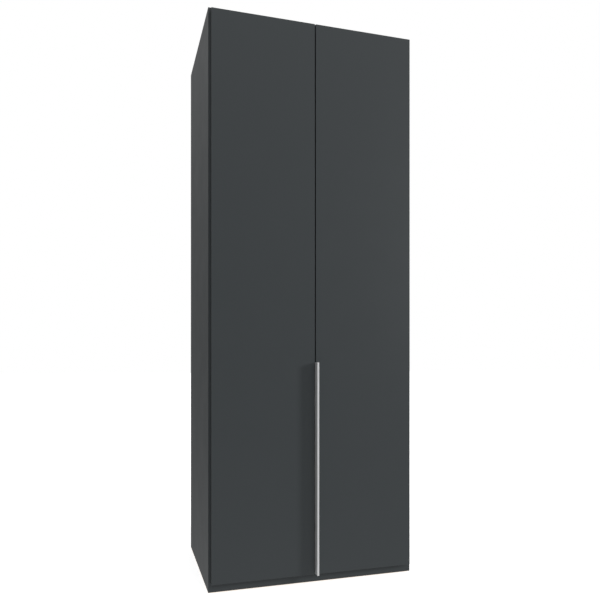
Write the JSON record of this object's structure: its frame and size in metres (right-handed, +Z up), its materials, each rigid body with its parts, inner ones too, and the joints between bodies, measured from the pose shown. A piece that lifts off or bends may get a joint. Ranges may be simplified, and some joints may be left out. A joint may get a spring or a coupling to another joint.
{
  "type": "wardrobe with doors",
  "caption": "Tall flat-pack wardrobe with hinged doors, a long angle handle, a hat shelf, a clothes rail and a low adjustable shelf.",
  "frame": {"origin": "on the floor, under the centre of the closed wardrobe's bounding box, handle included", "axes": "+X to the right as seen from in front, +Y to the back, +Z up; the doors face -Y"},
  "size_m": [0.9, 0.606, 2.36],
  "materials": {
    "graphite_board": "melamine-faced chipboard, satin graphite grey, edge banded in the same colour; modelled boards include their facing and edge band",
    "door_board": "melamine-faced chipboard, satin graphite grey, fine even grain",
    "interior_board": "melamine-faced chipboard, light grey linen pattern",
    "hardboard": "thin hardboard, light printed face inside, raw brown face behind",
    "beech": "plain beech dowels",
    "handle_aluminium": "satin anodised, fine lengthwise brushing",
    "chrome_tube": "bright chromed steel",
    "nickel_steel": "nickel-plated pressed steel",
    "zinc_steel": "bright zinc plate",
    "white_plastic": "moulded plastic, off-white",
    "black_plastic": "moulded plastic, black",
    "bumper": "clear silicone dots"
  },
  "bodies": {
    "root": {"left_side_panel": "graphite_board", "right_side_panel": "graphite_board", "top_panel": "graphite_board", "bottom_panel": "graphite_board", "front_plinth": "graphite_board", "rear_plinth": "graphite_board", "plinth_brackets": "black_plastic", "plinth_bracket_screws": "zinc_steel", "back_panel_left": "hardboard", "back_panel_right": "hardboard", "back_joining_strip": "white_plastic", "back_nails": "zinc_steel", "hat_shelf": "interior_board", "adjustable_shelf": "interior_board", "shelf_pins": "zinc_steel", "clothes_rail": "chrome_tube", "rail_sockets": "chrome_tube", "rail_socket_screws": "zinc_steel", "cam_locks": "zinc_steel", "cam_bolts": "zinc_steel", "wood_dowels": "beech", "floor_glides": "white_plastic", "glide_nails": "zinc_steel", "wall_brackets": "zinc_steel", "wall_bracket_screws": "zinc_steel", "left_hinge_arms": "nickel_steel", "left_hinge_plates": "nickel_steel", "left_plate_screws": "zinc_steel", "left_arm_screws": "zinc_steel", "right_hinge_arms": "nickel_steel", "right_hinge_plates": "nickel_steel", "right_plate_screws": "zinc_steel", "right_arm_screws": "zinc_steel"},
    "left_door": {"left_door_panel": "door_board", "left_hinge_cups": "nickel_steel", "left_hinge_pins": "zinc_steel", "left_cup_screws": "zinc_steel", "left_door_bumpers": "bumper"},
    "right_door": {"right_door_panel": "door_board", "right_hinge_cups": "nickel_steel", "right_hinge_pins": "zinc_steel", "right_cup_screws": "zinc_steel", "right_door_bumpers": "bumper", "door_handle": "handle_aluminium", "handle_screws": "zinc_steel"}
  },
  "joints": [
    {"name": "left_door_hinge", "type": "hinge", "parent": "root", "child": "left_door", "pos_m": [-0.4315, -0.27, 1.19], "axis": [0, 0, -1], "range_deg": [0, 100]},
    {"name": "right_door_hinge", "type": "hinge", "parent": "root", "child": "right_door", "pos_m": [0.4315, -0.27, 1.19], "axis": [0, 0, 1], "range_deg": [0, 100]}
  ]
}
